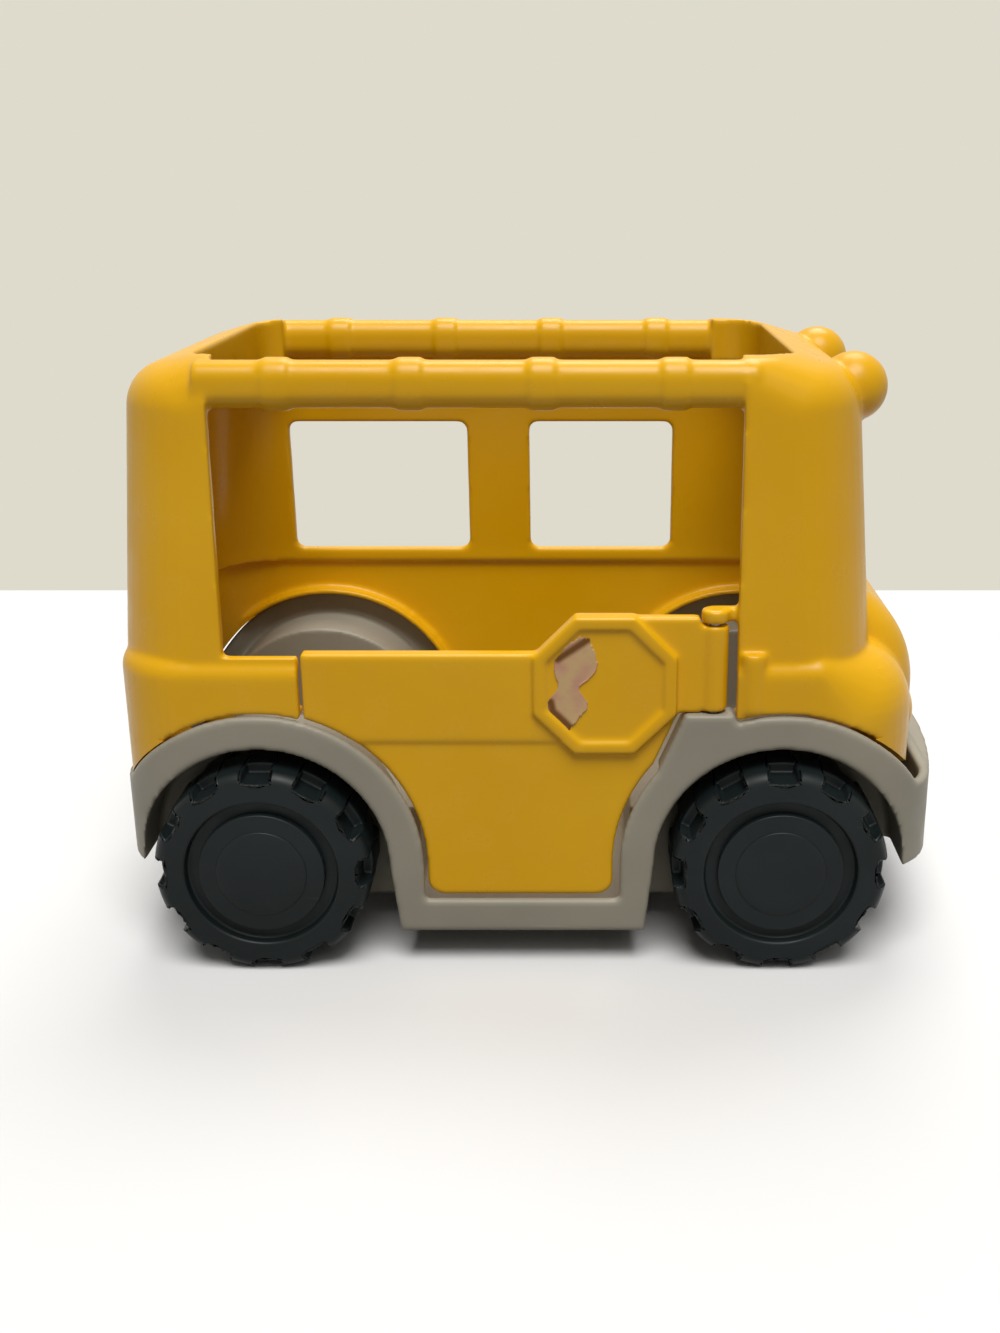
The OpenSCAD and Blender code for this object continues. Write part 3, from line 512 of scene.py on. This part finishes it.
class TOYBUS_OT_paper(bpy.types.Operator):
    """Lays the torn patch of bare paper on the octagon's face"""
    bl_idname = "toybus.paper"
    bl_label = "Torn paper"

    # torn outline and the dark brown runs along two edges, in millimetres from the octagon's middle, to the
    # right and up
    OUTLINE = np.array([
        (-3.1, 9.5), (-2.3, 7.8), (-1.4, 5.2), (-2.0, 2.5), (-4.3, 0.6), (-4.7, -1.0), (-3.2, -2.8),
        (-3.5, -4.6), (-5.2, -6.6), (-6.8, -8.7), (-8.4, -8.2), (-10.6, -5.5), (-10.9, -3.4), (-9.2, -1.2),
        (-8.5, 0.4), (-9.2, 2.6), (-9.0, 5.3), (-6.9, 8.1), (-4.8, 9.5)])
    DARK_RUNS = np.array([((-8.6, 5.4), (-3.2, 9.1)), ((-10.0, -2.9), (-9.6, -4.7)), ((-9.6, -4.7), (-6.5, -7.8))])
    CORNER_DAMP = 2.0
    AROUND = 360
    RINGS = 30
    # teeth round the torn edge, coarse to fine, which get shallower by this power of their number
    TEETH = (17, 29, 43, 61)
    TEETH_FALL = 0.4

    def dark_run_share(self, flat, run):
        """1 on the dark brown runs and 0 from 1.5 runs' widths off them: the distance of each point from the
        nearest of the straight runs, p + clip((x - p).(q - p) / |q - p|^2, 0, 1) (q - p)."""
        start, span = self.DARK_RUNS[:, 0], self.DARK_RUNS[:, 1] - self.DARK_RUNS[:, 0]
        off = flat[..., None, :] - start
        along = np.clip((off * span).sum(axis=-1) / (span ** 2).sum(axis=-1), 0, 1)
        gap = np.linalg.norm(off - along[..., None] * span, axis=-1).min(axis=-1)
        return np.clip(1.5 - gap / run, 0, 1)

    def torn_edge(self, turn, tear):
        """The outline about its middle, with teeth: a sum of sines of k turns, each 1 / k^0.4 deep, moves each
        point along the line from the middle."""
        out = closed_loop(turn, self.OUTLINE, self.CORNER_DAMP)
        middle = out.mean(axis=0)
        out = out - middle
        teeth = sum(np.sin(2 * np.pi * turn * k + k * k) / k ** self.TEETH_FALL for k in self.TEETH)
        out *= 1 + teeth[:, None] * tear / np.linalg.norm(out, axis=1).mean()
        return middle, out

    def execute(self, context):
        """The patch is a fan of rings: ring r of the outline lies at share r from the patch's middle to its
        torn edge, and the edge's teeth and lift grow with r."""
        paper = context.scene.toybus_paper
        colours = context.scene.toybus_colours
        middle, out = self.torn_edge(np.arange(self.AROUND) / self.AROUND, paper.tear / MM)
        share = np.linspace(0, 1, self.RINGS)[1:]
        flat = middle + share[:, None, None] * out[None]
        dark_run = self.dark_run_share(flat, paper.dark_run / MM)
        bearing = np.arctan2(out[:, 1], out[:, 0])
        # the edge lifts in three places
        lift = paper.curl * share[:, None] ** 6 * (0.5 + 0.5 * np.sin(3 * bearing + 0.8))[None]
        face_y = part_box("side_door")[0].y + paper.sink
        top = np.stack([
            paper.middle_x + flat[..., 0] * MM,
            face_y - paper.thickness - lift,
            paper.middle_z + flat[..., 1] * MM], axis=-1)
        hub = (paper.middle_x + middle[0] * MM, face_y - paper.thickness, paper.middle_z + middle[1] * MM)
        material = torn_paper("Paper_torn", colours.paper, colours.blush, colours.dark_brown)
        patch = fan_piece("torn_paper", hub, top, material)
        # share of dark brown at each point, 0 at the middle
        darkened_points = patch.data.attributes.new("dark_run", "FLOAT", "POINT")
        darkened_points.data.foreach_set("value", np.concatenate([[0.0], dark_run.ravel()]).astype(np.float32))
        sheet = patch.modifiers.new("paper_thickness", "SOLIDIFY")
        sheet.thickness = paper.thickness
        sheet.offset = -1
        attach(patch, "door")
        return {"FINISHED"}


def soft_lamp(lamp, stage):
    """A broad soft lamp far off, at its height and turn on the stage: level 1 on a surface that faces it shows
    a colour as it is written."""
    name = f"{lamp}_lamp"
    data = bpy.data.lights.new(name, "SUN")
    data.angle = stage.softness
    data.energy = getattr(stage, f"{lamp}_level") * math.pi
    light = bpy.data.objects.new(name, data)
    light.rotation_euler = (
        math.pi / 2 - getattr(stage, f"{lamp}_height"), 0, getattr(stage, f"{lamp}_turn"))
    bpy.context.scene.collection.objects.link(light)


def seen_rays(tree):
    """1 for what the camera sees, straight or in a reflection or through glass, and 0 for light that falls."""
    rays = add(tree, "ShaderNodeLightPath").outputs
    mirrored = add(tree, "ShaderNodeMath", {
        0: rays["Is Glossy Ray"], 1: rays["Is Transmission Ray"]}, operation="MAXIMUM")
    return add(tree, "ShaderNodeMath", {
        0: rays["Is Camera Ray"], 1: mirrored.outputs["Value"]}, operation="MAXIMUM").outputs["Value"]


class TOYBUS_OT_stage(bpy.types.Operator):
    """Sets the pale floor, the soft lamps and the camera"""
    bl_idname = "toybus.stage"
    bl_label = "Stage"

    def execute(self, context):
        scene = context.scene
        stage = scene.toybus_stage
        self.floor(scene, stage)
        for lamp in ("key", "fill", "back"):
            soft_lamp(lamp, stage)
        self.backdrop(scene, stage)
        camera = bpy.data.objects.new("camera", bpy.data.cameras.new("camera"))
        camera.data.sensor_width = SENSOR_MM
        camera.data.lens = stage.focal
        camera.data.shift_x = stage.shift
        camera.location = stage.eye
        camera.rotation_euler = (math.pi / 2 - stage.pitch, 0, 0)
        camera.data.clip_start = 10 * MM
        scene.collection.objects.link(camera)
        scene.camera = camera
        scene.view_settings.view_transform = "Standard"
        return {"FINISHED"}

    def backdrop(self, scene, stage):
        """Even light all round, which looks like the backdrop to the camera and in reflections."""
        world = bpy.data.worlds.new("even_light")
        world.use_nodes = True
        tree = world.node_tree
        tree.nodes.clear()
        light = add(tree, "ShaderNodeBackground", {"Color": (1, 1, 1, 1), "Strength": stage.world})
        seen = add(tree, "ShaderNodeBackground", {"Color": (*scene.toybus_colours.wall, 1), "Strength": 1.0})
        split = add(tree, "ShaderNodeMixShader", {
            0: seen_rays(tree), 1: light.outputs["Background"], 2: seen.outputs["Background"]})
        add(tree, "ShaderNodeOutputWorld", {"Surface": split.outputs["Shader"]})
        scene.world = world

    def floor(self, scene, stage):
        """A wide flat table, painted white, which ends in front of the backdrop and throws little light back
        up."""
        reach, edge = stage.table_reach, stage.table_edge
        mesh = bpy.data.meshes.new("floor")
        mesh.from_pydata(
            [(-reach, -reach, 0), (reach, -reach, 0), (reach, edge, 0), (-reach, edge, 0)], [], [(0, 1, 2, 3)])
        floor = bpy.data.objects.new("floor", mesh)
        scene.collection.objects.link(floor)
        material, tree, out = new_material("Table_painted")
        tone = add(tree, "ShaderNodeMix", {
            "Factor": seen_rays(tree), "A": (*scene.toybus_colours.bounce, 1),
            "B": (*scene.toybus_colours.floor, 1)}, data_type="RGBA")
        shader = add(tree, "ShaderNodeBsdfDiffuse", {"Color": tone.outputs["Result"]})
        tree.links.new(shader.outputs["BSDF"], out.inputs["Surface"])
        mesh.materials.append(material)


class TOYBUS_PT_panel(bpy.types.Panel):
    """Lists the steps that dress the bus"""
    bl_idname = "TOYBUS_PT_panel"
    bl_label = "Toy bus"
    bl_space_type = "VIEW_3D"
    bl_region_type = "UI"
    bl_category = "Toy bus"

    def draw(self, context):
        for operator in OPERATORS:
            self.layout.operator(operator.bl_idname)
        for group, kind in SETTINGS.items():
            for key in kind.__annotations__:
                self.layout.prop(getattr(context.scene, group), key)


OPERATORS = (TOYBUS_OT_body, TOYBUS_OT_chassis, TOYBUS_OT_wheels, TOYBUS_OT_paper, TOYBUS_OT_stage)
SETTINGS = {
    "toybus_colours": ToyBusColours, "toybus_edges": ToyBusEdges,
    "toybus_paper": ToyBusPaper, "toybus_stage": ToyBusStage}


def register():
    for group in SETTINGS.values():
        bpy.utils.register_class(group)
    for key, group in SETTINGS.items():
        setattr(bpy.types.Scene, key, bpy.props.PointerProperty(type=group))
    for operator in OPERATORS:
        bpy.utils.register_class(operator)
    bpy.utils.register_class(TOYBUS_PT_panel)


def unregister():
    bpy.utils.unregister_class(TOYBUS_PT_panel)
    for operator in reversed(OPERATORS):
        bpy.utils.unregister_class(operator)
    for key, group in SETTINGS.items():
        delattr(bpy.types.Scene, key)
        bpy.utils.unregister_class(group)


def main():
    register()
    bpy.ops.toybus.stage()
    bpy.ops.toybus.body()
    bpy.ops.toybus.chassis()
    bpy.ops.toybus.wheels()
    bpy.ops.toybus.paper()


if __name__ == "__main__":
    main()
